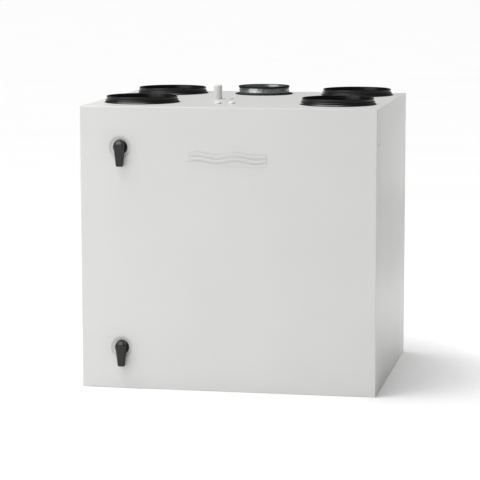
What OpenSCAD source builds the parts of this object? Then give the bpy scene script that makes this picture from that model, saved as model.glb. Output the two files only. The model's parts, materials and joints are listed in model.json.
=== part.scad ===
// Residential heat recovery unit with a rotary exchanger.
// X runs left to right seen from the front, +Y runs from the door to the wall, +Z is up.
// The origin is at the middle of the whole unit's footprint, at the level of its base.

/* [Casing] */
// Outside width
body_w = 680; // [670:2:700]
// Depth from the door's front to the rear panel
body_d = 558; // [552:2:580]
// Height of the casing without its duct sockets
body_h = 648; // [640:2:670]
// Thickness of the left and right walls
side_wall = 30; // [28:1:31]
// Thickness of the rear wall
rear_wall = 20; // [18:1:22]
// Thickness of the roof and of the base
cap_wall = 30; // [28:1:32]
// Thickness of the sheet steel
sheet_t = 1; // [0.8:0.1:1.2]
// Outer radius of the bends in the painted panels
bend_r = 2.5; // [2:0.5:4]

/* [Door] */
// Thickness of the door
door_t = 45; // [44:1:48]
// Gap between the door and the casing, filled by the gasket
seal_gap = 4; // [4:0.5:5]
// Distance from the right edge to the hinge axis
hinge_edge = 12; // [11:0.5:12]
// Distance from the door's back to the hinge axis
hinge_set = 22; // [21:0.5:22]
// Distance from the left edge to the lever axis
lever_edge = 94; // [90:1:110]
// Height of the lower lever axis
lever_low = 95; // [85:1:120]
// Height of the upper lever axis
lever_high = 555.5; // [520:0.5:560]
// How far a lever stands proud of the door
lever_reach = 21; // [20:0.5:24]

/* [Duct connections] */
// Bore radius of the duct sockets
duct_r = 80; // [79:0.5:80]
// Distance of the duct sockets from the middle plane
duct_x = 230; // [228:1:230]
// Distance of the front sockets from the door's front
duct_front = 149; // [145:1:155]
// Distance of the rear sockets from the door's front
duct_rear = 469; // [465:1:470]
// Height of the duct sockets above the roof
duct_rise = 15; // [14:0.5:18]
// Radius of the sealing lip on the cooker hood spigot
hood_lip_r = 62.3; // [62:0.1:62.4]
// Height of the cooker hood spigot above the roof
hood_rise = 20.5; // [20:0.5:25]

/* [Rotor] */
// Radius of the heat exchanger rotor
rotor_r = 214; // [206:1:214]
// Width of the rotor along its axle
rotor_w = 190; // [170:2:190]
// Radius of the rotor's axle
axle_r = 8; // [7:0.5:9]
// Radius of the drive pulley
pulley_r = 18; // [16:0.5:20]

/* [Fans] */
// Outer radius of the fan impellers
fan_r = 90; // [84:1:92]
// Width of an impeller
fan_w = 58; // [54:1:60]
// Blades on an impeller
fan_blades = 7; // [5:1:9]

/* [Wall mounting] */
// Distance between the rear panel and the wall
rail_d = 10; // [10:0.5:12]
// Distance between the two slots in the wall rail
slot_pitch = 400; // [300:10:460]

/* [Hidden] */
$fn = 72;

// Main planes
half_w = body_w / 2;
y_front = lever_reach - (lever_reach + body_d + rail_d) / 2;
y_door = y_front + door_t;
y_case = y_door + seal_gap;
y_back = y_front + body_d;
y_wall = y_back + rail_d;
in_x = half_w - side_wall;
in_y = y_back - rear_wall;
in_lo = cap_wall;
in_hi = body_h - cap_wall;
play = 0.2;
cut = 1;
// Gap that keeps a square edge of insulation clear of a bend's inside
wool_gap = 0.3 * (bend_r - sheet_t) + 0.1;

// Folded edges of the casing
rim_fold = 18;
rear_fold = 20;
liner_fold = side_wall - rim_fold - 0.5;

// Hinges
hinge_x = half_w - hinge_edge;
hinge_y = y_door - hinge_set;
hinge_z = [80, body_h - 80];
tongue_half = 5;
tongue_t = 4;
knuckle_r = hinge_edge - 0.6;
hinge_pin_r = 2.5;
hinge_block_h = 24;
hinge_slot_h = 5.2;
hinge_slot_front = hinge_y - knuckle_r - 3;
hinge_slot_x = hinge_x - knuckle_r - 0.6;
hinge_block_x = hinge_slot_x - 4;
hinge_block_front = hinge_slot_front - 2.5;

// Latches
lever_x = lever_edge - half_w;
latch_z = [lever_low, lever_high];
dish_r = 25.5;
dish_floor_r = 20.5;
dish_depth = 1.8;
latch_disc_r = 17;
latch_sleeve_r = 10;
spindle_r = 6;
spindle_fit = 0.06;
lever_half_w = 12.2;
lever_tip_w = 8.2;
lever_top = 18;
lever_len = 44;
lever_droop = 9;
cam_y = y_case + 18;
cam_t = 3;
cam_len = 56;
keeper_y = cam_y - 5.5;

// Air path inside the casing
socket_wall = 1.6;
hood_y = 470;
hood_tube_r = 61;
roof_hole = 84;
hood_hole = 66;
cas_x = 110;
cas_t = 2;
cas_lo = in_lo + 4;
cas_half = 235;
rotor_y = 295;
rotor_z = cas_lo + cas_half;
rotor_open_r = rotor_r - 9;
riser_y = 424;
split_z = rotor_z;
fan_x = 147;
exhaust_fan = [215, 150];
supply_fan = [235, 400];
eye_r = 58;
shaft_r = 5;
shaft_fit = 0.06;
hub_in_r = 17.5;
hub_r = 24;
belt_x = 60;
belt_w = 8;
belt_t = 2;
pulley_off = 187;
filter_t = 46;
gland_x = -74;
gland_y = 268;
plug_x = -47;
plug_y = 272;
grommet_x = [-43, -11];
grommet_y = 117;
rail_z = 555;

// Depth d behind the door's front plane
function dy(d) = y_front + d;

function duct_places() = [for (x = [-duct_x, duct_x]) for (d = [duct_front, duct_rear]) [x, dy(d)]];

// Points of a wave line's upper or lower edge
function wave(len, amp, period, off, n) = [for (i = [0:n])
    let (x = -len / 2 + len * i / n) [x, amp * sin(360 * x / period) + off]];

function reversed(list) = [for (i = [len(list) - 1:-1:0]) list[i]];

module block(lo, hi) {
    translate(lo) cube(hi - lo);
}

// Child's section lies in X and Y, its height along Z
module along_z(z0, z1) {
    translate([0, 0, z0]) linear_extrude(z1 - z0) children();
}

// Child's section lies in Y and Z
module along_x(x0, x1) {
    translate([x0, 0, 0]) rotate([90, 0, 90]) linear_extrude(x1 - x0) children();
}

// Child's section lies in X and Z
module along_y(y0, y1) {
    translate([0, y1, 0]) rotate([90, 0, 0]) linear_extrude(y1 - y0) children();
}

module rod_x(r, x0, x1, y, z) {
    translate([x0, y, z]) rotate([0, 90, 0]) cylinder(r = r, h = x1 - x0);
}

module rod_y(r, y0, y1, x, z) {
    translate([x, y0, z]) rotate([-90, 0, 0]) cylinder(r = r, h = y1 - y0);
}

module rod_z(r, z0, z1, x, y) {
    translate([x, y, z0]) cylinder(r = r, h = z1 - z0);
}

module tube(r_out, r_in, h) {
    difference() {
        cylinder(r = r_out, h = h);
        translate([0, 0, -cut]) cylinder(r = r_in, h = h + 2 * cut);
    }
}

// Section of a folded sheet: outer corner at the origin, legs along +X and +Y
module fold(a, b, r) {
    translate([r, 0]) square([a - r, sheet_t]);
    translate([0, r]) square([sheet_t, b - r]);
    translate([r, r]) intersection() {
        difference() {
            circle(r);
            circle(r - sheet_t);
        }
        translate([-r, -r]) square(r);
    }
}

// Rectangle u0..u1 by v0..v1 with the two corners at v0 rounded
module front_round(u0, u1, v0, v1, r) {
    translate([u0, v0 + r]) square([u1 - u0, v1 - v0 - r]);
    translate([u0 + r, v0]) square([u1 - u0 - 2 * r, r]);
    for (u = [u0 + r, u1 - r]) translate([u, v0 + r]) circle(r);
}

module at_ducts() {
    for (p = duct_places()) translate([p[0], p[1], 0]) children();
}

module at_latches() {
    for (z = latch_z) translate([lever_x, 0, z]) children();
}

module at_rotor() {
    translate([0, dy(rotor_y), rotor_z]) rotate([0, 90, 0]) children();
}

// ---------------------------------------------------------------- casing

module side_section() {
    mid = (y_back - y_case) / 2 + cut;
    translate([-half_w, y_case]) fold(rim_fold, mid, bend_r);
    translate([-half_w, y_back]) mirror([0, 1]) fold(rear_fold, mid, bend_r);
}

module left_panel() {
    color("gainsboro") along_z(0, body_h) side_section();
}

module right_panel() {
    color("gainsboro") difference() {
        along_z(0, body_h) mirror([1, 0]) side_section();
        for (z = hinge_z) block([half_w - rim_fold - cut, y_case - cut, z - tongue_t / 2 - 0.5],
            [hinge_x + tongue_half + 0.5, y_case + 3, z + tongue_t / 2 + 0.5]);
    }
}

// Section of the roof and base trays, corner at the front
module cap_section(fold_h) {
    mid = (y_back - y_case) / 2 + cut;
    translate([y_case, 0]) fold(mid, fold_h, bend_r);
    translate([y_back, 0]) mirror([1, 0]) fold(mid, fold_h, bend_r);
}

// A tray between the side panels, with its folds notched beside them
module cap_tray() {
    edge = half_w - sheet_t;
    difference() {
        along_x(-edge, edge) cap_section(rim_fold);
        for (s = [-1, 1]) translate([s * half_w, 0, 0]) {
            block([-rim_fold - play, y_case - cut, -cut], [rim_fold + play, y_case + bend_r, rim_fold + cut]);
            block([-rear_fold - play, y_back - bend_r, -cut], [rear_fold + play, y_back + cut, rim_fold + cut]);
        }
    }
}

module top_panel() {
    color("whitesmoke") difference() {
        translate([0, 0, body_h]) mirror([0, 0, 1]) cap_tray();
        at_ducts() translate([0, 0, body_h - 5]) cylinder(r = duct_r + socket_wall + 0.4, h = 10);
        rod_z(hood_tube_r + 0.4, body_h - 5, body_h + 5, 0, dy(hood_y));
        entry_holes(0.3, body_h - 5, body_h + 5);
    }
}

// Holes for the cable gland, the blanking plug and the two grommets
module entry_holes(gap, z0, z1) {
    rod_z(7.8 + gap, z0, z1, gland_x, dy(gland_y));
    rod_z(7.8 + gap, z0, z1, plug_x, dy(plug_y));
    for (x = grommet_x) rod_z(5.8 + gap, z0, z1, x, dy(grommet_y));
}

module base_panel() {
    color("gainsboro") cap_tray();
}

module rear_panel() {
    x = half_w - rear_fold - 0.5;
    color("gainsboro") difference() {
        block([-x, y_back - sheet_t, rim_fold + 0.5], [x, y_back, body_h - rim_fold - 0.5]);
        screw_places() rod_y(2.1, -cut - sheet_t, cut, 0, 0);
    }
}

// Screws round the rear panel
module screw_places() {
    x = half_w - rear_fold - 10;
    for (sx = [-1, 1]) for (i = [0:3]) translate([sx * x, y_back, 30 + i * (body_h - 60) / 3]) children();
    for (z = [30, body_h - 30]) for (sx = [-0.33, 0.33]) translate([sx * x, y_back, z]) children();
}

module panel_screws() {
    color("silver") screw_places() difference() {
        union() {
            rod_y(2, -sheet_t, 0.1, 0, 0);
            rotate([-90, 0, 0]) cylinder(r1 = 4.6, r2 = 3.4, h = 2.4);
        }
        rod_y(0.6, 1.2, 3, 0, 0);
        block([-2.4, 1.5, -0.5], [2.4, 3, 0.5]);
        block([-0.5, 1.5, -2.4], [0.5, 3, 2.4]);
    }
}

module wall_insulation() {
    y0 = y_case + sheet_t + wool_gap;
    y1 = y_back - sheet_t - wool_gap;
    x1 = half_w - sheet_t - wool_gap;
    color("khaki") {
        block([-x1, y0, in_lo + sheet_t], [-in_x - sheet_t - play, y1, in_hi - sheet_t]);
        difference() {
            block([in_x + sheet_t + play, y0, in_lo + sheet_t], [x1, y1, in_hi - sheet_t]);
            for (z = hinge_z) block([hinge_x - tongue_half - 1, y0 - cut, z - 20.5],
                [x1 + cut, y_case + 21, z + 20.5]);
        }
        block([-in_x + play, in_y + sheet_t + play, in_lo + sheet_t], [in_x - play, y1, in_hi - sheet_t]);
        block([-x1, y0, sheet_t + wool_gap], [x1, y1, in_lo - sheet_t - play]);
        roof_blocks(y0, y1, x1, in_hi + sheet_t + play, body_h - sheet_t - wool_gap);
    }
}

// Wedges that fill the corners of a square opening of half width h, clear of a round one
module corner_wedges(h, z0, z1) {
    leg = h * (2 - sqrt(2)) - 1;
    for (a = [0:90:270]) rotate([0, 0, a]) along_z(z0, z1)
        polygon([[h, h], [h - leg, h], [h, h - leg]]);
}

// Blocks of insulation cut to leave square openings round the duct connections
module roof_blocks(y0, y1, x1, z0, z1) {
    c0 = duct_x - roof_hole;
    c1 = duct_x + roof_hole;
    f0 = dy(duct_front) - roof_hole;
    f1 = dy(duct_front) + roof_hole;
    r0 = dy(duct_rear) - roof_hole;
    r1 = dy(duct_rear) + roof_hole;
    h0 = dy(hood_y) - hood_hole;
    h1 = dy(hood_y) + hood_hole;
    for (s = [0, 1]) mirror([s, 0, 0]) {
        block([c1 + play, y0, z0], [x1, y1, z1]);
        block([c0, y0, z0], [c1, f0, z1]);
        block([c0, f1, z0], [c1, r0, z1]);
        block([c0, r1, z0], [c1, y1, z1]);
        block([hood_hole, h0, z0], [c0 - play, h1, z1]);
    }
    at_ducts() corner_wedges(roof_hole - play, z0, z1);
    translate([0, dy(hood_y), 0]) corner_wedges(hood_hole - play, z0, z1);
    block([-c0 + play, h1 + play, z0], [c0 - play, y1, z1]);
    difference() {
        block([-c0 + play, y0, z0], [c0 - play, h0 - play, z1]);
        entry_holes(1.2, z0 - cut, z1 + cut);
    }
}

module inner_liner() {
    color("lightgray") {
        for (s = [0, 1]) mirror([s, 0, 0]) along_z(in_lo - sheet_t, in_hi - play)
            translate([in_x, y_case]) fold(liner_fold, in_y + sheet_t - y_case, 1.5);
        block([-in_x + play, in_y, in_lo + play], [in_x - play, in_y + sheet_t, in_hi - play]);
        along_x(-in_x + play, in_x - play) translate([y_case, in_lo]) mirror([0, 1])
            fold(in_y - y_case - play, liner_fold, 1.5);
    }
}

module roof_liner() {
    color("lightgray") difference() {
        along_x(-in_x + play, in_x - play) translate([y_case, in_hi])
            fold(in_y - y_case - play, liner_fold, 1.5);
        at_ducts() translate([0, 0, in_hi - 5]) cylinder(r = duct_r + socket_wall + 0.4, h = 10);
        rod_z(hood_tube_r + 0.4, in_hi - 5, in_hi + 5, 0, dy(hood_y));
        entry_holes(0.3, in_hi - 5, in_hi + 5);
    }
}

// ---------------------------------------------------------------- door

// The door's outer shape, moved in by the inset, with rounded front edges
module door_form(inset, depth) {
    r = bend_r - inset;
    x = half_w - inset;
    y = y_front + inset;
    intersection() {
        along_z(inset, body_h - inset) front_round(-x, x, y, y + depth, r);
        along_x(-x, x) mirror([1, -1]) front_round(inset, body_h - inset, y, y + depth, r);
    }
}

module hinge_slots() {
    for (z = hinge_z) block([hinge_slot_x, hinge_slot_front, z - hinge_slot_h / 2],
        [half_w + cut, y_door + cut, z + hinge_slot_h / 2]);
}

// Pressed dish that a lever sits in
module lever_dish() {
    rotate([-90, 0, 0]) rotate_extrude() polygon([[dish_r, 0], [dish_r - 1.2, 0.25],
        [dish_floor_r + 1, dish_depth - 0.3], [dish_floor_r, dish_depth], [latch_sleeve_r + 0.3, dish_depth],
        [latch_sleeve_r + 0.3, dish_depth + sheet_t], [dish_floor_r, dish_depth + sheet_t],
        [dish_floor_r + 1.6, dish_depth + sheet_t - 0.4], [dish_r - 0.6, 1.3], [dish_r, sheet_t]]);
}

// Raised ornament of three level wave lines, as of moving air
module wave_relief() {
    len = 178;
    amp = 3;
    line = 4.4;
    pitch = 10.5;
    for (k = [-1:1]) translate([0, pitch * k]) {
        polygon(concat(wave(len, amp, len / 2, line / 2, 60), reversed(wave(len, amp, len / 2, -line / 2, 60))));
        for (x = [-len / 2, len / 2]) translate([x, 0]) circle(line / 2, $fn = 24);
    }
}

module door_skin() {
    color("whitesmoke") {
        difference() {
            door_form(0, door_t);
            door_form(sheet_t, door_t);
            at_latches() rod_y(dish_r - 0.01, y_front - cut, y_front + 3, 0, 0);
            hinge_slots();
        }
        at_latches() translate([0, y_front, 0]) lever_dish();
        translate([0, 0, body_h - 116]) along_y(y_front - 1.6, y_front + sheet_t / 2) wave_relief();
    }
}

module door_insulation() {
    x = half_w - sheet_t - wool_gap;
    color("khaki") difference() {
        block([-x, y_front + sheet_t + wool_gap, sheet_t + wool_gap],
            [x, y_door - sheet_t - play, body_h - sheet_t - wool_gap]);
        at_latches() {
            rod_y(dish_r + 1, y_front, y_front + dish_depth + sheet_t + 0.5, 0, 0);
            rod_y(latch_sleeve_r + 0.5, y_front, y_door, 0, 0);
        }
        for (z = hinge_z) block([hinge_block_x - 0.5, hinge_block_front - 0.5, z - hinge_block_h / 2 - 0.5],
            [x + cut, y_door, z + hinge_block_h / 2 + 0.5]);
    }
}

module door_liner() {
    x = half_w - sheet_t - play;
    color("lightgray") difference() {
        block([-x, y_door - sheet_t, sheet_t + play], [x, y_door, body_h - sheet_t - play]);
        at_latches() rod_y(latch_sleeve_r + 0.3, y_door - 3, y_door + 3, 0, 0);
        hinge_slots();
    }
}

// Perimeter gasket, the strips that close the door's upright seams, and the foam that closes the air chambers
module door_gasket() {
    t = seal_gap - 0.3;
    edge = half_w - 0.5;
    hinge_side = hinge_x + 2.5;
    x1 = half_w - rim_fold - 1;
    x0 = x1 - 10;
    z1 = rim_fold + 1;
    z0 = z1 + 10;
    strip = y_case + 10.4 - y_door;
    color("dimgray") {
        difference() {
            block([-x1, y_door, z1], [x1, y_door + t, body_h - z1]);
            block([-x0, y_door - cut, z0], [x0, y_door + t + cut, body_h - z0]);
        }
        difference() {
            union() {
                block([-edge, y_door, 3], [6 - edge, y_door + t, body_h - 3]);
                block([hinge_side - 6, y_door, 3], [hinge_side, y_door + t, body_h - 3]);
            }
            for (z = hinge_z) block([hinge_slot_x, y_door - cut, z - tongue_t], [half_w, y_case, z + tongue_t]);
        }
        for (s = [-1, 1]) translate([s * (cas_x - cas_t / 2), y_door, 0])
            block([-7, 0, in_lo + 6], [7, strip, in_hi - 6]);
        for (s = [0, 1]) mirror([s, 0, 0])
            block([cas_x + 7, y_door, split_z - 7], [in_x - 6, y_door + strip, split_z + 7]);
    }
}

// Steel tongues on the casing that carry the hinge pins, each with a round knuckle that fills the door's slot
module hinge_brackets() {
    color("whitesmoke") for (z = hinge_z) translate([hinge_x, 0, z]) difference() {
        union() {
            block([-tongue_half, hinge_y, -tongue_t / 2], [tongue_half, y_case + 3, tongue_t / 2]);
            block([-tongue_half, hinge_y, -tongue_t / 2], [knuckle_r, y_case - 0.3, tongue_t / 2]);
            block([-tongue_half, y_case + sheet_t + 0.3, -18], [tongue_half + 3, y_case + 19, 18]);
            rod_z(knuckle_r, -tongue_t / 2, tongue_t / 2, 0, hinge_y);
        }
        rod_z(hinge_pin_r + 0.05, -10, 10, 0, hinge_y);
    }
}

// Bearing blocks in the door's right edge, slotted for the tongues
module hinge_blocks() {
    h = hinge_block_h / 2;
    color("white") difference() {
        for (z = hinge_z) block([hinge_block_x, hinge_block_front, z - h],
            [half_w - sheet_t - 0.1, y_door - sheet_t - 0.1, z + h]);
        hinge_slots();
        for (z = hinge_z) rod_z(hinge_pin_r, z - h + 1, z + h - 1, hinge_x, hinge_y);
    }
}

module hinge_pins() {
    h = hinge_block_h / 2 - 1;
    color("silver") for (z = hinge_z) rod_z(hinge_pin_r, z - h, z + h, hinge_x, hinge_y);
}

// ---------------------------------------------------------------- latches

module latch_bases() {
    color("dimgray") at_latches() difference() {
        union() {
            rod_y(latch_disc_r, y_front + 0.5, y_front + dish_depth, 0, 0);
            rod_y(latch_sleeve_r, y_front + dish_depth, y_door + 8, 0, 0);
        }
        rod_y(spindle_r + spindle_fit, y_front - cut, y_door + 10, 0, 0);
    }
}

module latch_nuts() {
    color("dimgray") at_latches() difference() {
        translate([0, y_door, 0]) rotate([-90, 0, 0]) cylinder(r = 14.5, h = 6, $fn = 6);
        rod_y(latch_sleeve_r, y_door - cut, y_door + 8, 0, 0);
    }
}

// Wing lever that points down: a broad round top that slopes back, tapering to a blunt tip
module lever() {
    back = y_front + 0.2;
    front = y_front - lever_reach;
    top = lever_top - lever_half_w;
    difference() {
        hull() {
            rod_y(lever_half_w, front + lever_droop, back, 0, top, $fn = 32);
            rod_y(lever_half_w - 3, front, back, 0, top - 7, $fn = 32);
            for (x = [-1, 1]) {
                rod_y(3, front + lever_droop + 3, back - 3, x * (lever_tip_w - 3), 3 - lever_len, $fn = 24);
                rod_y(1.8, front + lever_droop, back - 3, x * (lever_tip_w - 3.4), 4 - lever_len, $fn = 24);
            }
        }
        rod_y(spindle_r, y_front - 12, y_front + 2, 0, 0);
    }
}

module lever_upper() {
    color("#262626") translate([lever_x, 0, lever_high]) lever();
}

module lever_lower() {
    color("#262626") translate([lever_x, 0, lever_low]) lever();
}

module spindle() {
    rod_y(spindle_r, y_front - 12, cam_y + cam_t, 0, 0);
    translate([0, cam_y + cam_t, 0]) rotate([-90, 0, 0]) cylinder(r = 9, h = 5, $fn = 6);
}

module spindle_upper() {
    color("silver") translate([lever_x, 0, lever_high]) spindle();
}

module spindle_lower() {
    color("silver") translate([lever_x, 0, lever_low]) spindle();
}

// Flat cam that swings behind the keeper when the lever is turned
module cam() {
    difference() {
        union() {
            rod_y(11, cam_y, cam_y + cam_t, 0, 0);
            rod_y(7, cam_y, cam_y + cam_t, 0, 7 - cam_len);
            block([-7, cam_y, 7 - cam_len], [7, cam_y + cam_t, 0]);
        }
        rod_y(spindle_r, cam_y - cut, cam_y + cam_t + cut, 0, 0);
    }
}

module cam_upper() {
    color("silver") translate([lever_x, 0, lever_high]) cam();
}

module cam_lower() {
    color("silver") translate([lever_x, 0, lever_low]) cam();
}

// Angle brackets on the left wall that the cams catch
module latch_keepers() {
    x0 = -in_x + play;
    color("silver") for (z = latch_z) difference() {
        union() {
            block([x0, keeper_y, z - 16], [x0 + 2, keeper_y + 24, z + 16]);
            block([x0, keeper_y, z - 16], [x0 + 26, keeper_y + 2.5, z + 16]);
        }
        for (dz = [-9, 9]) rod_x(2.2, x0 - cut, x0 + 4, keeper_y + 15, z + dz);
    }
}

// ---------------------------------------------------------------- duct connections

// Plastic duct socket: a thin flange on the roof, a step, a neck and a rim round the bore
module collar() {
    r = duct_r;
    tail = cap_wall;
    translate([0, 0, body_h]) rotate_extrude($fn = 96) polygon([[r, -tail], [r + socket_wall, -tail],
        [r + socket_wall, 0], [r + 8, 0], [r + 8, 0.8], [r + 7, 1.8], [r + 5.2, 3.2],
        [r + 4.4, 4.2], [r + 4.4, 7.2], [r + 3.8, 7.8], [r + socket_wall, 7.8],
        [r + socket_wall, duct_rise - 4.6], [r + 2.3, duct_rise - 4.2], [r + 2.6, duct_rise - 3.4],
        [r + 2.6, duct_rise - 0.8], [r + 2.1, duct_rise], [r + 0.5, duct_rise], [r, duct_rise - 0.5]]);
}

module collar_front_left() {
    color("#2b2b2b") translate([-duct_x, dy(duct_front), 0]) collar();
}

module collar_rear_left() {
    color("#2b2b2b") translate([-duct_x, dy(duct_rear), 0]) collar();
}

module collar_front_right() {
    color("#2b2b2b") translate([duct_x, dy(duct_front), 0]) collar();
}

module collar_rear_right() {
    color("#2b2b2b") translate([duct_x, dy(duct_rear), 0]) collar();
}

// Rubber rings that seal the sockets under the roof sheet
module collar_seals() {
    r = duct_r + socket_wall;
    color("#1c1c1c") at_ducts() translate([0, 0, body_h - sheet_t - 4.2]) tube(r + 2.2, r, 4);
}

module hood_spigot() {
    r = hood_tube_r;
    color("darkseagreen") translate([0, dy(hood_y), body_h]) rotate_extrude() polygon([
        [r - 1, -cap_wall - 1], [r, -cap_wall - 1], [r, 5], [r + 0.9, 6.2], [r + 0.9, 7.4], [r, 8.6],
        [r, hood_rise - 1.5], [r - 1, hood_rise - 1.5], [r - 1, 8.6], [r - 0.1, 7.4],
        [r - 0.1, 6.2], [r - 1, 5]]);
}

module hood_spigot_base() {
    r = hood_tube_r;
    color("#1c1c1c") translate([0, dy(hood_y), body_h]) rotate_extrude() polygon([
        [r, 0], [r + 9.5, 0], [r + 9.5, 1.2], [r + 8.6, 2.2], [r + 3.4, 3], [r + 1.6, 4], [r, 4]]);
}

module hood_spigot_lip() {
    r = hood_tube_r;
    color("#1c1c1c") translate([0, dy(hood_y), body_h]) rotate_extrude() polygon([
        [r, hood_rise - 4.6], [hood_lip_r - 0.5, hood_rise - 4.3], [hood_lip_r, hood_rise - 3.8],
        [hood_lip_r, hood_rise - 0.6], [hood_lip_r - 0.5, hood_rise], [r - 1, hood_rise],
        [r - 1, hood_rise - 1.5], [r, hood_rise - 1.5]]);
}

// Cable gland body with its lock nut under the roof
module cable_gland() {
    color("whitesmoke") translate([gland_x, dy(gland_y), 0]) {
        rod_z(7.8, in_hi - 8, body_h, 0, 0);
        translate([0, 0, body_h]) rotate_extrude() polygon([[0, 0], [10.4, 0], [10.4, 3.2], [9.8, 4],
            [0, 4]]);
        translate([0, 0, in_hi - 6]) cylinder(r = 11.5, h = 5, $fn = 6);
        rod_z(6, body_h + 4, body_h + 14, 0, 0);
    }
}

// Tall cap of the gland, with shallow grip flutes
module cable_gland_nut() {
    color("whitesmoke") translate([gland_x, dy(gland_y), body_h + 4.1]) difference() {
        rotate_extrude() polygon([[0, 0], [9.4, 0], [9.7, 0.4], [9.7, 26.6], [9, 28.5], [7.3, 29.6],
            [4.5, 29.9], [0, 29.9]]);
        translate([0, 0, -cut]) cylinder(r = 6.1, h = 11);
        for (a = [0:30:330]) rotate(a) translate([10.3, 0, 5]) cylinder(r = 1, h = 17);
    }
}

// Flat blanking plug and two domed cable grommets
module cable_plugs() {
    color("whitesmoke") {
        translate([plug_x, dy(plug_y), body_h]) {
            rotate_extrude() polygon([[0, 0], [9.5, 0], [9.5, 2], [8.6, 3], [0, 3]]);
            translate([0, 0, -12]) cylinder(r = 7.8, h = 12.5);
        }
        for (x = grommet_x) translate([x, dy(grommet_y), body_h]) {
            rotate_extrude() polygon([[0, 0], [8, 0], [8, 1.6], [7.2, 3.4], [5.4, 4.8], [3, 5.5], [0, 5.7]]);
            translate([0, 0, -12]) cylinder(r = 5.8, h = 12.5);
        }
    }
}

// ---------------------------------------------------------------- rotor cassette

// Openings beside the rotor, above and below the bar that carries the axle
module rotor_window() {
    difference() {
        translate([dy(rotor_y), rotor_z]) circle(rotor_open_r, $fn = 128);
        translate([dy(0), rotor_z - 15]) square([body_d, 30]);
        translate([dy(riser_y - 2), rotor_z]) square([200, rotor_r]);
    }
}

module cassette_sides() {
    z1 = in_hi - 1;
    color("lightsteelblue") for (s = [-1, 1]) difference() {
        along_x(s * (cas_x - cas_t / 2) - cas_t / 2, s * (cas_x - cas_t / 2) + cas_t / 2) difference() {
            translate([y_case + 11, cas_lo]) square([in_y - 0.5 - y_case - 11, z1 - cas_lo]);
            rotor_window();
            if (s < 0) translate([dy(392), in_hi - 104]) square([136, 96]);
        }
        rod_x(axle_r, -cas_x - cut, cas_x + cut, dy(rotor_y), rotor_z);
    }
}

// Top, bottom, front and rear plates between the cassette sides
module cassette_frame() {
    x = cas_x - cas_t - 0.1;
    y0 = dy(rotor_y) - cas_half;
    y1 = dy(rotor_y) + cas_half;
    color("lightsteelblue") difference() {
        block([-x, y0, cas_lo], [x, y1, cas_lo + 2 * cas_half]);
        block([-x - cut, y0 + cas_t, cas_lo + cas_t], [x + cut, y1 - cas_t, cas_lo + 2 * cas_half - cas_t]);
        along_y(y0 - cut, y0 + cas_t + cut) for (z = [cas_lo + 130, cas_lo + 320])
            translate([0, z]) inspection_window();
    }
}

// Window in the cassette's front through which the rotor is seen
module inspection_window() {
    for (x = [-40, 40]) translate([x, 0]) circle(25);
    translate([-40, -25]) square([80, 50]);
}

module rotor_matrix() {
    h = rotor_w - 6;
    color("silver") at_rotor() translate([0, 0, -h / 2]) tube(rotor_r - 3, hub_r, h, $fn = 128);
}

module rotor_wheel() {
    color("gray") at_rotor() {
        translate([0, 0, -rotor_w / 2]) tube(hub_r, hub_in_r, rotor_w);
        difference() {
            translate([0, 0, -rotor_w / 2]) cylinder(r = rotor_r, h = rotor_w, $fn = 128);
            translate([0, 0, -rotor_w / 2 - cut]) cylinder(r = rotor_r - 3, h = rotor_w + 2 * cut, $fn = 128);
        }
        for (e = [-rotor_w / 2, rotor_w / 2 - 3]) for (a = [0:60:300]) rotate(a)
            translate([hub_r - 1, -5, e]) cube([rotor_r - 1.5 - hub_r, 10, 3]);
    }
}

module rotor_axle() {
    color("silver") {
        rod_x(axle_r, -cas_x - 2.6, cas_x + 2.6, dy(rotor_y), rotor_z);
        for (s = [-1, 1]) translate([s * (cas_x + 1.2) - 1, dy(rotor_y), rotor_z]) rotate([0, 90, 0])
            tube(axle_r + 6, axle_r, 2);
    }
}

module rotor_bearings() {
    color("dimgray") at_rotor() for (z = [-rotor_w / 2 + 10, rotor_w / 2 - 22])
        translate([0, 0, z]) tube(hub_in_r, axle_r + 0.05, 12);
}

// Brush seals between the rotor's faces and the cassette sides
module rotor_seals() {
    color("#303030") at_rotor() for (z = [-cas_x + cas_t + 0.1, rotor_w / 2 + 1.5])
        translate([0, 0, z]) tube(rotor_r - 1, rotor_open_r + 1, cas_x - cas_t - rotor_w / 2 - 1.6);
}

// Belt outline round the rotor and the pulley, grown by g
module belt_outline(g) {
    hull() {
        circle(rotor_r + g, $fn = 180);
        translate([pulley_off, -pulley_off]) circle(pulley_r + g, $fn = 60);
    }
}

module drive_belt() {
    color("#1c1c1c") at_rotor() translate([0, 0, belt_x - belt_w / 2]) linear_extrude(belt_w) difference() {
        belt_outline(0.5 + belt_t);
        belt_outline(0.5);
    }
}

module rotor_motor() {
    y = dy(rotor_y) - pulley_off;
    z = rotor_z - pulley_off;
    color("slategray") difference() {
        union() {
            rod_x(27, belt_x - 76, belt_x - 16, y, z);
            rod_x(12, belt_x - 16, belt_x - 8, y, z);
            block([belt_x - 16, y - 33, cas_lo + cas_t], [belt_x - 14, y + 33, z + 33]);
            block([belt_x - 40, y - 33, cas_lo + cas_t], [belt_x - 14, y + 33, cas_lo + cas_t + 2]);
        }
        rod_x(shaft_r + shaft_fit, belt_x - 40, belt_x, y, z);
    }
}

module motor_pulley() {
    y = dy(rotor_y) - pulley_off;
    z = rotor_z - pulley_off;
    w = belt_w / 2 + 0.6;
    color("#3a3a3a") {
        rod_x(shaft_r, belt_x - 38, belt_x + w + 4, y, z);
        rod_x(pulley_r, belt_x - w, belt_x + w, y, z);
        for (x = [belt_x - w - 1.5, belt_x + w]) rod_x(pulley_r + 4, x, x + 1.5, y, z);
    }
}

// ---------------------------------------------------------------- air chambers

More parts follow.
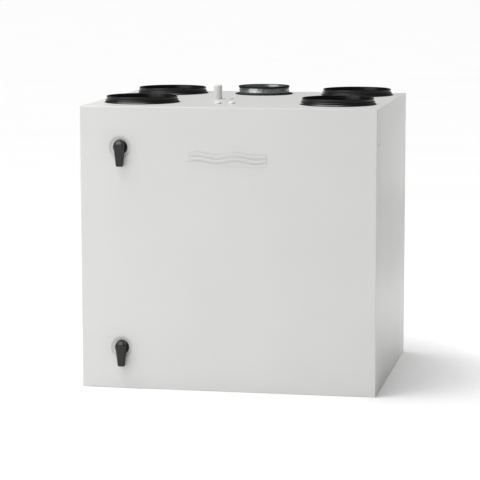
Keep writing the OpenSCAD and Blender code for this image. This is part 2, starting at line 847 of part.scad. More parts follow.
// Shelves between the upper and lower chambers, and the walls of the two rear risers
module air_dividers() {
    x0 = cas_x + 0.3;
    x1 = in_x - 0.3;
    y0 = y_case + 11;
    bend_z = in_hi - 98;
    color("lightgray") difference() {
        for (s = [0, 1]) mirror([s, 0, 0]) {
            block([x0, y0, split_z - 1], [x1, dy(riser_y), split_z + 1]);
            along_x(x0, x1) polygon([[dy(riser_y) + 0.3, split_z - 1], [dy(riser_y) + 2.3, split_z - 1],
                [dy(riser_y) + 2.3, bend_z], [dy(riser_y - 38), in_hi - 0.5],
                [dy(riser_y - 40.3), in_hi - 0.5], [dy(riser_y) + 0.3, bend_z - 0.6]]);
        }
        rod_x(axle_r + 7, -cas_x - 3, cas_x + 3, dy(rotor_y), rotor_z);
    }
    color("lightgray") block([-fan_x - 2, dy(riser_y) + 2.6, split_z - 1], [-x0, in_y - 0.3, split_z + 1]);
}

// Sheet duct that leads the cooker hood air past the rotor to the exhaust riser
module hood_duct() {
    x1 = 76;
    y0 = dy(389);
    y1 = dy(535);
    z0 = in_hi - 112;
    color("lightgray") difference() {
        block([-cas_x + cas_t + 0.3, y0, z0], [x1, y1, in_hi - 0.5]);
        block([-cas_x, y0 + sheet_t, z0 + sheet_t], [x1 - sheet_t, y1 - sheet_t, in_hi + cut]);
    }
}

// Fan wall with a rounded inlet nozzle, in the plane of local Z = 0
module inlet_nozzle() {
    rotate_extrude() polygon([[eye_r + 9, -2], [eye_r + 9, 0], [eye_r + 3, 0.6], [eye_r - 0.2, 3.4],
        [eye_r - 1, 7.5], [eye_r - 2, 7.5], [eye_r - 1.4, 3], [eye_r + 2, -1.2]]);
}

module fan_plates() {
    color("lightsteelblue") {
        difference() {
            block([-fan_x - 2, y_case + 11, in_lo + 0.5], [-fan_x, in_y - 0.5, split_z - 1.3]);
            rod_x(eye_r + 8.9, -fan_x - 3, -fan_x + cut, dy(exhaust_fan[0]), exhaust_fan[1]);
        }
        translate([-fan_x - 2, dy(exhaust_fan[0]), exhaust_fan[1]]) rotate([0, -90, 0]) inlet_nozzle();
        difference() {
            block([fan_x, y_case + 11, split_z + 1.3], [fan_x + 2, dy(riser_y) - 38 - 4, in_hi - 0.5]);
            rod_x(eye_r + 8.9, fan_x - cut, fan_x + 3, dy(supply_fan[0]), supply_fan[1]);
        }
        translate([fan_x + 2, dy(supply_fan[0]), supply_fan[1]]) rotate([0, 90, 0]) inlet_nozzle();
    }
}

// Backward-curved fan wheel: local Z runs from the inlet to the back plate
module impeller() {
    blade_in = 45;
    translate([0, 0, fan_w - 2]) cylinder(r = fan_r, h = 2);
    rotate_extrude() polygon([[0, fan_w - 24], [18, fan_w - 22], [24, fan_w - 14], [28, fan_w - 1.5], [0, fan_w - 1.5]]);
    rotate_extrude() polygon([[eye_r, 0], [eye_r + 1.5, 0], [eye_r + 3, 7], [fan_r, 16], [fan_r, 17.6],
        [eye_r + 1.6, 8.4]]);
    intersection() {
        rotate_extrude() polygon([[blade_in, 10], [eye_r + 1, 8], [fan_r - 0.5, 16.8],
            [fan_r - 0.5, fan_w - 1.5], [blade_in, fan_w - 1.5]]);
        for (i = [0:fan_blades - 1]) rotate(i * 360 / fan_blades) linear_extrude(fan_w) intersection() {
            translate([20, -60]) difference() {
                circle(66);
                circle(64);
            }
            translate([30, -60]) square([70, 70]);
        }
    }
    translate([0, 0, fan_w - 2]) cylinder(r = shaft_r, h = 26);
}

// Outer-frame motor on a three-armed spider with posts back to the fan wall
module fan_motor() {
    z0 = fan_w + 3;
    post = fan_r + 12;
    difference() {
        union() {
            translate([0, 0, z0]) cylinder(r = 44, h = 5);
            translate([0, 0, z0 + 5]) cylinder(r = 38, h = 22);
            for (a = [30, 150, 270]) rotate(a) {
                translate([30, -9, z0 + 24]) cube([post - 30, 18, 3]);
                translate([post, 0, z0 + 24]) cylinder(r = 9, h = 3);
                translate([post, 0, -6]) cylinder(r = 4, h = z0 + 31);
            }
        }
        translate([0, 0, z0 - cut]) cylinder(r = shaft_r + shaft_fit, h = 24);
    }
}

// Puts a fan's local frame at its wall, inlet towards the rotor
module at_supply_fan() {
    translate([fan_x + 8, dy(supply_fan[0]), supply_fan[1]]) rotate([0, 90, 0]) children();
}

module at_exhaust_fan() {
    translate([-fan_x - 8, dy(exhaust_fan[0]), exhaust_fan[1]]) rotate([0, -90, 0]) children();
}

module fan_motors() {
    color("#3a3a3a") {
        at_supply_fan() fan_motor();
        at_exhaust_fan() fan_motor();
    }
}

module supply_impeller() {
    color("#4a4a4a") at_supply_fan() impeller();
}

module exhaust_impeller() {
    color("#4a4a4a") at_exhaust_fan() impeller();
}

// Open frame with a pull tab, x0..x0+filter_t wide
module filter_frame(x0, y0, y1, z0, z1) {
    t = 4;
    difference() {
        block([x0, y0, z0], [x0 + filter_t, y1, z1]);
        block([x0 - cut, y0 + t, z0 + t], [x0 + filter_t + cut, y1 - t, z1 - t]);
    }
    block([x0 + filter_t / 2 - 10, y0 - 3, z1 - 40], [x0 + filter_t / 2 + 10, y0, z1 - 30]);
}

// Pleated sheet that fills a filter frame
module pleats(x0, y0, y1, z0, z1) {
    n = round((y1 - y0) / 18);
    step = (y1 - y0) / n;
    x1 = x0 + filter_t;
    side_a = [for (i = [0:2 * n]) [y0 + i * step / 2, i % 2 == 0 ? x0 + 4 : x1 - 5.5]];
    side_b = [for (i = [2 * n:-1:0]) [y0 + i * step / 2, i % 2 == 0 ? x0 + 5.5 : x1 - 4]];
    along_z(z0, z1) mirror([1, -1]) polygon(concat(side_a, side_b));
}

outdoor_x = -cas_x - 4 - filter_t;
extract_x = cas_x + 4;
outdoor_y = [y_case + 14, dy(riser_y - 3)];
outdoor_z = [split_z + 1.5, split_z + 216];
extract_y = [y_case + 14, in_y - 2];
extract_z = [in_lo + 1, split_z - 2];

module filter_frames() {
    color("ivory") {
        filter_frame(outdoor_x, outdoor_y[0], outdoor_y[1], outdoor_z[0], outdoor_z[1]);
        filter_frame(extract_x, extract_y[0], extract_y[1], extract_z[0], extract_z[1]);
    }
}

module filter_media() {
    g = 4.2;
    color("white") {
        pleats(outdoor_x, outdoor_y[0] + g, outdoor_y[1] - g, outdoor_z[0] + g, outdoor_z[1] - g);
        pleats(extract_x, extract_y[0] + g, extract_y[1] - g, extract_z[0] + g, extract_z[1] - g);
    }
}

// Tubular electric heater in a sheet frame, in the supply air
module heater() {
    x0 = cas_x + 3;
    x1 = fan_x - 2;
    z0 = split_z + 1.5;
    z1 = split_z + 216;
    y0 = y_case + 14;
    y1 = dy(riser_y - 3);
    color("silver") {
        difference() {
            block([x0, y0, z0], [x1, y1, z1]);
            block([x0 - cut, y0 + 2, z0 + 2], [x1 + cut, y1 - 2, z1 - 2]);
        }
        for (i = [0:6]) rod_y(4, y0 + 2.05, y1 - 2.05, (x0 + x1) / 2, z0 + 20 + i * 29);
    }
}

// Box for the electronics above the rotor cassette, with a lid at its front
module control_box() {
    x = cas_x - 5;
    y0 = y_case + 14;
    y1 = dy(374);
    z0 = in_hi - 110;
    z1 = in_hi - 9;
    t = 1.5;
    color("lightgray") {
        difference() {
            block([-x, y0 + 2, z0], [x, y1, z1]);
            block([-x + t, y0, z0 + t], [x - t, y1 - t, z1 - t]);
            entry_holes(0.6, z1 - 5, z1 + 5);
        }
        difference() {
            block([-x, y0, z0], [x, y0 + 1.7, z1]);
            for (i = [0:5]) block([-45 + i * 16, y0 - cut, z0 + 30], [-41 + i * 16, y0 + 4, z1 - 30]);
        }
    }
}

// Circuit board with its relays, capacitors and terminal blocks
module control_board() {
    x = cas_x - 15;
    y0 = y_case + 26;
    z0 = in_hi - 100;
    z1 = z0 + 1.6;
    color("seagreen") {
        block([-x, y0, z0], [x, y0 + 250, z1]);
        for (i = [0:7]) block([-x + 6 + i * 22, y0 + 4, z1 - 0.1], [-x + 24 + i * 22, y0 + 16, z1 + 14]);
        for (i = [0:3]) rod_z(9, z1 - 0.1, z1 + 32, -60 + i * 26, y0 + 90);
        for (i = [0:4]) block([-x + 10 + i * 34, y0 + 150, z1 - 0.1], [-x + 34 + i * 34, y0 + 170, z1 + 16]);
        block([30, y0 + 190, z1 - 0.1], [80, y0 + 235, z1 + 30]);
    }
}

// ---------------------------------------------------------------- wall mounting

// Rail screwed to the wall, with a lip that points up
module wall_rail() {
    t = 1.5;
    y = y_wall;
    color("silver") difference() {
        along_x(-260, 260) {
            translate([y - t, rail_z]) square([t, 40]);
            translate([y - 6, rail_z + 15]) square([6, t]);
            translate([y - 6, rail_z + 15]) square([t, 19]);
        }
        for (s = [-1, 1]) along_y(y - t - cut, y + cut) translate([s * slot_pitch / 2, rail_z + 7]) {
            for (e = [-4, 4]) translate([e, 0]) circle(4);
            translate([-4, -4]) square([8, 8]);
        }
    }
}

// Rail on the rear panel, with a lip that hooks down behind the wall rail's
module hanger_rail() {
    t = 1.5;
    color("silver") along_x(-250, 250) {
        translate([y_back, rail_z + 5]) square([t, 40]);
        translate([y_back, rail_z + 43.5]) square([rail_d - 2.2, t]);
        translate([y_wall - 2.2 - t, rail_z + 20]) square([t, 25]);
    }
}

module wall_spacers() {
    color("dimgray") for (x = [-250, 250]) translate([x, y_back, 70]) rotate([-90, 0, 0])
        rotate_extrude() polygon([[0, 0], [14, 0], [14, 2], [11, 3.5], [11, rail_d - 1], [10, rail_d], [0, rail_d]]);
}

left_panel();
right_panel();
rear_panel();
top_panel();
base_panel();
wall_insulation();
inner_liner();
roof_liner();
panel_screws();
door_skin();
door_insulation();
door_liner();
door_gasket();
hinge_brackets();
hinge_blocks();
hinge_pins();
latch_bases();
latch_nuts();
lever_upper();
lever_lower();
spindle_upper();
spindle_lower();
cam_upper();
cam_lower();
latch_keepers();
collar_front_left();
collar_rear_left();
collar_front_right();
collar_rear_right();
collar_seals();
hood_spigot();
hood_spigot_base();
hood_spigot_lip();
cable_gland();
cable_gland_nut();
cable_plugs();
cassette_sides();
cassette_frame();
rotor_matrix();
rotor_wheel();
rotor_axle();
rotor_bearings();
rotor_seals();
drive_belt();
rotor_motor();
motor_pulley();
air_dividers();
hood_duct();
fan_plates();
fan_motors();
supply_impeller();
exhaust_impeller();
filter_frames();
filter_media();
heater();
control_box();
control_board();
wall_rail();
hanger_rail();
wall_spacers();
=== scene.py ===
import json
import math

import bmesh
import bpy
from mathutils import Matrix, Vector


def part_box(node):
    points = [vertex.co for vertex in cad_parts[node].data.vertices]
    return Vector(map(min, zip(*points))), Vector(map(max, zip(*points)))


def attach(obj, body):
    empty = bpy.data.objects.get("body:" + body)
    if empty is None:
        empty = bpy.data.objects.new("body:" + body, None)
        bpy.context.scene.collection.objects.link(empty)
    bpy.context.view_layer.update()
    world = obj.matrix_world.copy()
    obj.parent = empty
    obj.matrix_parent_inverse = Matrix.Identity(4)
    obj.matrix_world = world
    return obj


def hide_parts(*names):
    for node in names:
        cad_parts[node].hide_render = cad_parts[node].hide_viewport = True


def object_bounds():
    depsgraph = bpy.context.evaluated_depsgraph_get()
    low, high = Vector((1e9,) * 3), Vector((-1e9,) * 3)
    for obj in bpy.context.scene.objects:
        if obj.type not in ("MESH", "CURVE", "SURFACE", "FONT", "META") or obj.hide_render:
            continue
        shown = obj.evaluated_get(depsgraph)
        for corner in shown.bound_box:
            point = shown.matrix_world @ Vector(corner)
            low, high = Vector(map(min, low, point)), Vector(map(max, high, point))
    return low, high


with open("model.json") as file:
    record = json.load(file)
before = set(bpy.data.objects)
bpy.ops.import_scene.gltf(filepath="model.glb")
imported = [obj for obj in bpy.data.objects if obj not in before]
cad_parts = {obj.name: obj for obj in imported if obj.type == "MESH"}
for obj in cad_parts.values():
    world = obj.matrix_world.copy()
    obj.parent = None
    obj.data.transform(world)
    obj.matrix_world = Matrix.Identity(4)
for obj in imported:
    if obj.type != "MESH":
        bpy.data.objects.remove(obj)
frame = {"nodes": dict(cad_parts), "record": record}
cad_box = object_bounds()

MM = 0.001
scene = bpy.context.scene
record = frame["record"]


# ---------------------------------------------------------------- places taken from the frame

# The levers' two base discs share a node, and their faces stand just behind the door's face
DISC_SINK = 0.5 * MM
discs_low, discs_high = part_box("latch_bases")
disc_r = (discs_high.x - discs_low.x) / 2
front_y = discs_low.y - DISC_SINK
lever_x = (discs_low.x + discs_high.x) / 2
lever_zs = {"lower": discs_low.z + disc_r, "upper": discs_high.z - disc_r}
rotor_low, rotor_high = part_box("rotor_matrix")
rotor_centre = (rotor_low + rotor_high) / 2


# ---------------------------------------------------------------- materials

class Look:
    """A material's node tree, with short calls that add nodes and join them."""

    def __init__(self, name, **values):
        self.material = bpy.data.materials.new(name)
        self.material.use_nodes = True
        self.tree = self.material.node_tree
        self.shader = self.tree.nodes["Principled BSDF"]
        self.place = self.add("ShaderNodeTexCoord").outputs["Object"]
        for key, value in values.items():
            self.shader.inputs[key.replace("_", " ").title().replace("Ior", "IOR")].default_value = value

    def add(self, kind, inputs=None, **settings):
        node = self.tree.nodes.new(kind)
        for key, value in settings.items():
            setattr(node, key, value)
        for key, value in (inputs or {}).items():
            if isinstance(value, bpy.types.NodeSocket):
                self.tree.links.new(value, node.inputs[key])
            else:
                node.inputs[key].default_value = value
        return node

    def join(self, output, name):
        self.tree.links.new(output, self.shader.inputs[name])

    def stretched(self, scale):
        return self.add("ShaderNodeMapping", {"Vector": self.place, "Scale": scale}).outputs["Vector"]

    def noise(self, scale, detail=2.0, roughness=0.5, place=None):
        node = self.add("ShaderNodeTexNoise", {"Vector": place or self.place, "Scale": scale,
                                               "Detail": detail, "Roughness": roughness})
        return node.outputs["Fac"]

    def cells(self, scale, feature="F1", output="Color", place=None):
        inputs = {"Vector": place or self.place, "Scale": scale}
        node = self.add("ShaderNodeTexVoronoi", inputs, feature=feature)
        return node.outputs[output]

    def math(self, operation, a, b=0.0):
        return self.add("ShaderNodeMath", {0: a, 1: b}, operation=operation).outputs[0]

    def ramp(self, value, stops):
        node = self.add("ShaderNodeValToRGB", {"Fac": value})
        ramp = node.color_ramp
        while len(ramp.elements) < len(stops):
            ramp.elements.new(1.0)
        for element, (position, colour) in zip(ramp.elements, stops):
            element.position = position
            element.color = (*colour, 1.0)
        return node.outputs["Color"]

    def span(self, value, low, high):
        """The value, from 0 to 1, carried to low..high."""
        node = self.add("ShaderNodeMapRange", {"Value": value, "To Min": low, "To Max": high})
        return node.outputs["Result"]

    def bump(self, height, depth, strength=1.0, normal=None):
        inputs = {"Height": height, "Distance": depth, "Strength": strength}
        if normal is not None:
            inputs["Normal"] = normal
        return self.add("ShaderNodeBump", inputs).outputs["Normal"]


def shade(colour, factor):
    return tuple(min(1.0, c * factor) for c in colour)


def tinted(look, value, colour, spread):
    """Colour that wanders by spread either way as value goes from 0.3 to 0.7."""
    stops = [(0.3, shade(colour, 1 - spread)), (0.7, shade(colour, 1 + spread))]
    look.join(look.ramp(value, stops), "Base Color")


def powder_coat(name, colour, roughness):
    look = Look(name, specular_ior_level=0.45)
    tinted(look, look.noise(5.0, 3.0), colour, 0.012)
    peel = look.noise(520.0, 2.0, 0.45)
    fine = look.noise(2300.0, 2.0, 0.6)
    look.join(look.span(look.noise(60.0, 3.0), roughness - 0.03, roughness + 0.04), "Roughness")
    look.join(look.bump(fine, 0.006 * MM, 0.5, look.bump(peel, 0.03 * MM, 0.6)), "Normal")
    return look.material


def galvanised(name, colour):
    look = Look(name, metallic=1.0)
    spangle = look.cells(140.0)
    grey = look.add("ShaderNodeSeparateColor", {"Color": spangle}).outputs["Red"]
    cloud = look.noise(9.0, 4.0)
    mixed = look.math("ADD", look.math("MULTIPLY", grey, 0.4), look.math("MULTIPLY", cloud, 0.6))
    stops = [(0.25, shade(colour, 0.9)), (0.5, colour), (0.8, shade(colour, 1.06))]
    look.join(look.ramp(mixed, stops), "Base Color")
    look.join(look.span(grey, 0.3, 0.38), "Roughness")
    look.join(look.bump(look.noise(900.0, 2.0), 0.01 * MM, 0.5, look.bump(grey, 0.01 * MM, 0.5)), "Normal")
    return look.material


def zinc_plate(name, colour):
    look = Look(name, metallic=1.0)
    cloud = look.noise(35.0, 4.0, 0.6)
    warm = (colour[0], colour[1] * 0.985, colour[2] * 0.93)
    cool = (colour[0] * 0.93, colour[1] * 0.98, colour[2] * 1.03)
    look.join(look.ramp(cloud, [(0.35, cool), (0.65, warm)]), "Base Color")
    look.join(look.span(look.noise(220.0, 3.0), 0.26, 0.42), "Roughness")
    look.join(look.bump(look.noise(1500.0, 2.0), 0.008 * MM, 0.6), "Normal")
    return look.material


def turned_steel(name, colour):
    look = Look(name, metallic=1.0, anisotropic=0.5)
    rings = look.noise(300.0, 3.0, 0.6, look.stretched((8.0, 1.0, 1.0)))
    look.join(look.ramp(rings, [(0.3, shade(colour, 0.88)), (0.7, shade(colour, 1.08))]), "Base Color")
    look.join(look.span(rings, 0.2, 0.36), "Roughness")
    look.join(look.bump(rings, 0.01 * MM, 0.5), "Normal")
    return look.material


def mill_sheet(name, colour):
    look = Look(name, metallic=1.0)
    grain = look.noise(260.0, 4.0, 0.6, look.stretched((1.0, 1.0, 0.04)))
    look.join(look.ramp(grain, [(0.3, shade(colour, 0.9)), (0.7, shade(colour, 1.06))]), "Base Color")
    look.join(look.span(look.noise(20.0, 3.0), 0.3, 0.44), "Roughness")
    look.join(look.bump(grain, 0.012 * MM, 0.5), "Normal")
    return look.material


def dark_metal(name, colour):
    look = Look(name, metallic=0.35)
    tinted(look, look.noise(40.0, 3.0), colour, 0.12)
    look.join(look.span(look.noise(160.0, 3.0), 0.42, 0.6), "Roughness")
    look.join(look.bump(look.noise(1100.0, 3.0, 0.6), 0.03 * MM, 0.6), "Normal")
    return look.material


def moulded(name, colour, roughness, specular, grain=1400.0, spread=0.1):
    """Injection-moulded plastic: a fine spark-eroded grain and faint flow marks."""
    look = Look(name, specular_ior_level=specular)
    tinted(look, look.noise(28.0, 3.0), colour, spread)
    look.join(look.span(look.noise(90.0, 3.0), roughness - 0.06, roughness + 0.07), "Roughness")
    look.join(look.bump(look.noise(grain, 2.0, 0.55), 0.018 * MM, 0.6), "Normal")
    return look.material


def soft_rubber(name, colour):
    look = Look(name, specular_ior_level=0.2)
    tinted(look, look.noise(60.0, 3.0), colour, 0.18)
    look.join(look.span(look.noise(240.0, 3.0), 0.72, 0.88), "Roughness")
    look.join(look.bump(look.noise(1700.0, 3.0, 0.6), 0.03 * MM, 0.7), "Normal")
    return look.material


def mineral_wool(name, colour):
    look = Look(name, roughness=0.95)
    fibres = look.noise(330.0, 6.0, 0.7, look.stretched((0.25, 1.0, 1.0)))
    lumps = look.noise(45.0, 4.0, 0.6)
    stops = [(0.3, shade(colour, 0.68)), (0.55, colour), (0.75, shade(colour, 1.2))]
    look.join(look.ramp(fibres, stops), "Base Color")
    look.join(look.bump(fibres, 0.5 * MM, 0.8, look.bump(lumps, 1.2 * MM, 0.5)), "Normal")
    return look.material


def wound_foil(name, colour, centre):
    """Corrugated foil wound round the axle: thin rings with a wave between each pair, with the open
    channels between the foils painted dark as their shade.
    """
    look = Look(name, metallic=0.9)
    offset = look.add("ShaderNodeVectorMath", {0: look.place, 1: centre}, operation="SUBTRACT")
    local = offset.outputs["Vector"]
    parts = look.add("ShaderNodeSeparateXYZ", {"Vector": local})
    y, z = parts.outputs["Y"], parts.outputs["Z"]
    radius = look.math("SQRT", look.math("ADD", look.math("MULTIPLY", y, y), look.math("MULTIPLY", z, z)))
    turn = look.math("ARCTAN2", z, y)
    pitch = 1.9 * MM
    ring = look.math("SINE", look.math("MULTIPLY", radius, 2 * math.pi / pitch))
    wave = look.math("SINE", look.math("MULTIPLY", turn, 2 * math.pi * 0.1 / (3.0 * MM)))
    comb = look.math("MAXIMUM", ring, look.math("MULTIPLY", wave, 0.8))
    # The dark and middle stops are painted shade inside the open channels between the foils; the top stop
    # is the foils' own edge colour
    look.join(look.ramp(look.span(comb, 0.5, 1.0), [(0.1, shade(colour, 0.12)), (0.75, shade(colour, 0.55)),
                                                    (0.95, colour)]), "Base Color")
    look.join(look.span(look.noise(50.0, 3.0), 0.3, 0.45), "Roughness")
    look.join(look.bump(comb, 0.6 * MM, 0.8), "Normal")
    return look.material


def circuit_board(name, colour):
    look = Look(name, roughness=0.35)
    tracks = look.cells(260.0, "DISTANCE_TO_EDGE", "Distance")
    stops = [(0.03, shade(colour, 1.9)), (0.07, colour), (1.0, shade(colour, 0.8))]
    look.join(look.ramp(tracks, stops), "Base Color")
    look.join(look.bump(tracks, 0.05 * MM, 0.4), "Normal")
    return look.material


def filter_card(name, colour):
    look = Look(name, roughness=0.85)
    tinted(look, look.noise(180.0, 5.0, 0.65, look.stretched((1.0, 0.2, 1.0))), colour, 0.06)
    look.join(look.bump(look.noise(700.0, 4.0, 0.6), 0.06 * MM, 0.6), "Normal")
    return look.material


def fleece(name, colour):
    look = Look(name, roughness=0.95, sheen_weight=0.25)
    fibres = look.noise(900.0, 5.0, 0.7)
    look.join(look.ramp(fibres, [(0.3, shade(colour, 0.8)), (0.6, colour)]), "Base Color")
    look.join(look.bump(fibres, 0.15 * MM, 0.8), "Normal")
    return look.material


# ---------------------------------------------------------------- the record's material slots

LOOKS = {
    "white_paint": powder_coat("white powder coat", (0.745, 0.75, 0.73), 0.46),
    "galvanised_sheet": galvanised("galvanised sheet", (0.50, 0.54, 0.52)),
    "zinc_plated_steel": zinc_plate("zinc plate", (0.70, 0.70, 0.69)),
    "bright_steel": turned_steel("turned steel", (0.60, 0.60, 0.60)),
    "dark_metal": dark_metal("dark coated metal", (0.07, 0.07, 0.075)),
    "aluminium_sheet": mill_sheet("mill aluminium", (0.72, 0.73, 0.74)),
    "honeycomb_foil": wound_foil("wound foil", (0.78, 0.79, 0.80), rotor_centre),
    "black_plastic": moulded("black moulded plastic", (0.009, 0.009, 0.01), 0.3, 0.42),
    "white_plastic": moulded("white moulded plastic", (0.86, 0.86, 0.85), 0.42, 0.5, 1600.0, 0.012),
    "black_rubber": soft_rubber("black rubber", (0.016, 0.016, 0.016)),
    "insulation_board": mineral_wool("mineral wool", (0.62, 0.53, 0.30)),
    "circuit_board": circuit_board("circuit board", (0.02, 0.14, 0.06)),
    "filter_card": filter_card("filter card", (0.74, 0.71, 0.63)),
    "filter_fleece": fleece("filter fleece", (0.84, 0.85, 0.84)),
}


# ---------------------------------------------------------------- CAD nodes

# Nodes that stay without a rounded edge: flat strips, pleats and soft board
NO_BEVEL = {"filter_media", "drive_belt", "wall_insulation", "door_insulation", "rotor_matrix"}
# Widths of the rounded edge where it isn't the usual one, in millimetres
BEVELS = {"door_skin": 0.35, "left_panel": 0.14, "right_panel": 0.14, "top_panel": 0.14, "base_panel": 0.14,
          "door_gasket": 0.6, "collar_seals": 0.6}
USUAL_BEVEL = 0.25


def finish_node(node, name, slot_name):
    """Gives a CAD node its material, welds its shared edges and rounds the sharp ones."""
    node.data.materials.clear()
    node.data.materials.append(LOOKS[slot_name])
    weld = node.modifiers.new("weld", "WELD")
    weld.merge_threshold = 0.002 * MM
    if name not in NO_BEVEL:
        bevel = node.modifiers.new("round", "BEVEL")
        bevel.width = BEVELS.get(name, USUAL_BEVEL) * MM
        bevel.segments = 2
        bevel.limit_method = "ANGLE"
        bevel.angle_limit = math.radians(35)
        bevel.harden_normals = True


def dress_frame():
    for part in record["subparts"]:
        finish_node(frame["nodes"][part["node"]], part["node"], part["material_slot"])


# ---------------------------------------------------------------- pieces made here

def add_piece(name, mesh, body, slot_name, *replaced):
    piece = bpy.data.objects.new(name, mesh)
    scene.collection.objects.link(piece)
    mesh.materials.append(LOOKS[slot_name])
    mesh.polygons.foreach_set("use_smooth", [True] * len(mesh.polygons))
    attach(piece, body)
    if replaced:
        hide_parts(*replaced)
    return piece


def mesh_of(name, bm):
    bmesh.ops.recalc_face_normals(bm, faces=bm.faces)
    mesh = bpy.data.meshes.new(name)
    bm.to_mesh(mesh)
    bm.free()
    return mesh


# ---------------------------------------------------------------- levers

lever_low, lever_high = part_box("lever_upper")
LEVER_REACH = front_y - lever_low.y
LEVER_TOP = lever_high.z - lever_zs["upper"]
LEVER_TIP = lever_zs["upper"] - lever_low.z
HEAD_R = (lever_high.x - lever_low.x) / 2
TIP_R = 3 * MM
TIP_HALF = 8.2 * MM
RING_POINTS = 96
# The front's rounded nose starts just below the axis and falls back by NOSE_DROP at the lever's top
NOSE_START = -2 * MM
NOSE_DROP = 13 * MM
# The nose's curve peaks below the head's lowest row of points, so it aims this far past the lever's reach
CROWN = 1.4 * MM
FRONT_SLOPE = 0.19
# The back lies close to the door and lifts a little towards the tip
BACK_GAP = 0.2 * MM
BACK_LIFT_START = -20 * MM
BACK_SLOPE = 0.12
# From the back's edge to the front's middle: (inset, depth from the back, depth from the front) in
# millimetres, where one of the two depths counts
LEVER_STEPS = [(1.0, 0.0, None), (0.3, 0.3, None), (0.0, 1.0, None), (0.0, None, 6.0), (0.35, None, 5.0),
               (2.4, None, 1.1), (3.0, None, 0.45), (3.8, None, 0.0), (4.8, None, 0.15), (5.4, None, 0.5)]


def lever_outline(inset):
    """A broad round head and a blunt tip, pulled in by the inset: the same count of points each time."""
    circles = [((0.0, LEVER_TOP - HEAD_R), HEAD_R),
               ((TIP_HALF - TIP_R, TIP_R - LEVER_TIP), TIP_R),
               ((TIP_R - TIP_HALF, TIP_R - LEVER_TIP), TIP_R)]
    points = []
    for i in range(RING_POINTS):
        turn = 2 * math.pi * (i + 0.5) / RING_POINTS
        d = (math.cos(turn), math.sin(turn))
        (x, z), r = max(circles, key=lambda c: c[0][0] * d[0] + c[0][1] * d[1] + c[1])
        points.append((x + (r - inset) * d[0], z + (r - inset) * d[1]))
    return points


def lever_front(z):
    """How far the front face stands from the door: a rounded nose on top, then a slope down to the tip."""
    if z > NOSE_START:
        return LEVER_REACH + CROWN - NOSE_DROP * ((z - NOSE_START) / (LEVER_TOP - NOSE_START)) ** 2
    return LEVER_REACH + CROWN - (NOSE_START - z) * FRONT_SLOPE


def lever_back(z):
    """The back follows the door near the axis and lifts towards the tip, for a finger."""
    return BACK_GAP + max(0.0, BACK_LIFT_START - z) * BACK_SLOPE


def fill_across(bm, row):
    """Closes a ring that is even about its upright middle with strips from side to side."""
    half = len(row) // 2
    quarter = half // 2
    right = [row[(quarter - 1 - i) % len(row)] for i in range(half)]
    left = [row[(quarter + i) % len(row)] for i in range(half)]
    for i in range(half - 1):
        bm.faces.new((right[i], right[i + 1], left[i + 1], left[i]))


def lever_mesh(name):
    bm = bmesh.new()
    rings = []
    for inset, from_back, from_front in LEVER_STEPS:
        ring = []
        for x, z in lever_outline(inset * MM):
            if from_front is None:
                y = -lever_back(z) - from_back * MM
            else:
                y = -lever_front(z) + from_front * MM
            ring.append((x, y, z))
        rings.append(ring)
    rows = [[bm.verts.new(p) for p in ring] for ring in rings]
    for low, high in zip(rows, rows[1:]):
        for i in range(RING_POINTS):
            j = (i + 1) % RING_POINTS
            bm.faces.new((low[i], low[j], high[j], high[i]))
    for row in (rows[0], rows[-1]):
        fill_across(bm, row)
    return mesh_of(name, bm)


def make_levers():
    for end, z in lever_zs.items():
        mesh = lever_mesh("turn_lever_" + end)
        mesh.transform(Matrix.Translation((lever_x, front_y, z)))
        lever = add_piece("turn_lever_" + end, mesh, "latch_" + end, "black_plastic", "lever_" + end)
        mesh.set_sharp_from_angle(angle=math.radians(50))
        soften = lever.modifiers.new("round", "BEVEL")
        soften.width = 0.3 * MM
        soften.segments = 2
        soften.angle_limit = math.radians(20)
        soften.harden_normals = True


# ---------------------------------------------------------------- stage, light and camera

# Yaw, pitch and roll in degrees, the lens in millimetres, and the place in metres
CAMERA_TURN = (11.02, 7.92, -0.087)
CAMERA_LENS = 154.29
CAMERA_PLACE = (0.9078, front_y - 4.5046, 0.9887)
SKY_LIGHT = 0.1
SKY_SEEN = 1.0
FLOOR_REACH = 60.0
FLOOR_DROP = 0.2 * MM
# Name, place, target, size in metres and power in watts
AREA_LIGHTS = [
    ("key", (-1.6, -1.7, 0.9), (-0.3, -0.3, 0.35), (1.9, 1.7), 13.9),
    ("side", (0.40, 0.80, 0.5), (0.34, 0.2, 0.5), (0.2, 0.3), 0.23),
    ("low", (0.64, 0.4, 0.08), (0.34, 0.25, 0.06), (0.6, 0.12), 0.32),
    ("roof_left", (-1.4, 2.8, 1.0), (-0.33, 0.0, 0.65), (0.6, 0.6), 5.0),
]


def make_camera():
    """A long lens far in front, to the right of the middle and a little above the roof."""
    yaw, pitch, roll = (math.radians(angle) for angle in CAMERA_TURN)
    ahead = Vector((-math.sin(yaw) * math.cos(pitch), math.cos(yaw) * math.cos(pitch), -math.sin(pitch)))
    level = Vector((math.cos(yaw), math.sin(yaw), 0.0))
    above = level.cross(ahead)
    right = math.cos(roll) * level + math.sin(roll) * above
    up = math.cos(roll) * above - math.sin(roll) * level
    data = bpy.data.cameras.new("camera")
    data.lens = CAMERA_LENS
    data.sensor_width = 36.0
    data.clip_start = 0.1
    data.clip_end = 200.0
    camera = bpy.data.objects.new("camera", data)
    turn = Matrix((right, up, -ahead)).transposed()
    camera.matrix_world = Matrix.Translation(CAMERA_PLACE) @ turn.to_4x4()
    scene.collection.objects.link(camera)
    scene.camera = camera


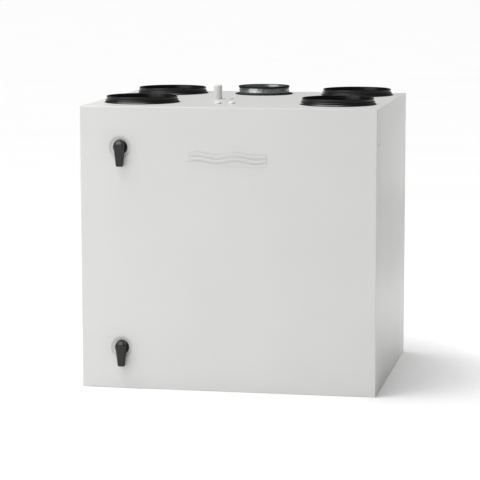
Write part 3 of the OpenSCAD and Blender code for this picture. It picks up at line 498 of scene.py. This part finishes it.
def area_light(name, place, target, size, power):
    data = bpy.data.lights.new(name, "AREA")
    data.shape = "RECTANGLE"
    data.size, data.size_y = size
    data.energy = power
    light = bpy.data.objects.new(name, data)
    light.location = place
    aim = Vector(target) - Vector(place)
    light.rotation_mode = "QUATERNION"
    light.rotation_quaternion = aim.to_track_quat("-Z", "Y")
    light.visible_camera = False
    scene.collection.objects.link(light)


def make_lights():
    """A dim sky that looks white to the camera's own rays, a broad overhead sun and the area lights."""
    world = bpy.data.worlds.new("world")
    world.use_nodes = True
    sky = world.node_tree.nodes["Background"]
    sky.inputs["Color"].default_value = (1.0, 1.0, 1.0, 1.0)
    rays = world.node_tree.nodes.new("ShaderNodeLightPath")
    strength = world.node_tree.nodes.new("ShaderNodeMapRange")
    strength.inputs["To Min"].default_value = SKY_LIGHT
    strength.inputs["To Max"].default_value = SKY_SEEN
    world.node_tree.links.new(rays.outputs["Is Camera Ray"], strength.inputs["Value"])
    world.node_tree.links.new(strength.outputs["Result"], sky.inputs["Strength"])
    scene.world = world
    overhead = bpy.data.lights.new("overhead", "SUN")
    overhead.energy = 3.0
    overhead.angle = math.radians(50)
    bank = bpy.data.objects.new("overhead", overhead)
    bank.rotation_mode = "QUATERNION"
    bank.rotation_quaternion = Vector((0.3, 0.08, -0.95)).to_track_quat("-Z", "Y")
    scene.collection.objects.link(bank)
    for lamp in AREA_LIGHTS:
        area_light(*lamp)


def make_floor():
    look = Look("pale floor", roughness=0.7)
    stops = [(0.3, (0.86, 0.86, 0.86)), (0.7, (0.88, 0.88, 0.88))]
    look.join(look.ramp(look.noise(1.5, 3.0), stops), "Base Color")
    look.shader.inputs["Emission Color"].default_value = (1.0, 1.0, 1.0, 1.0)
    look.shader.inputs["Emission Strength"].default_value = 0.17
    bm = bmesh.new()
    z = cad_box[0].z - FLOOR_DROP
    corners = [(-1, -1), (1, -1), (1, 1), (-1, 1)]
    bm.faces.new([bm.verts.new((x * FLOOR_REACH, y * FLOOR_REACH, z)) for x, y in corners])
    mesh = bpy.data.meshes.new("floor")
    bm.to_mesh(mesh)
    bm.free()
    mesh.materials.append(look.material)
    floor = bpy.data.objects.new("floor", mesh)
    scene.collection.objects.link(floor)


scene.view_settings.view_transform = "Standard"
make_camera()
make_lights()
make_floor()
dress_frame()
make_levers()
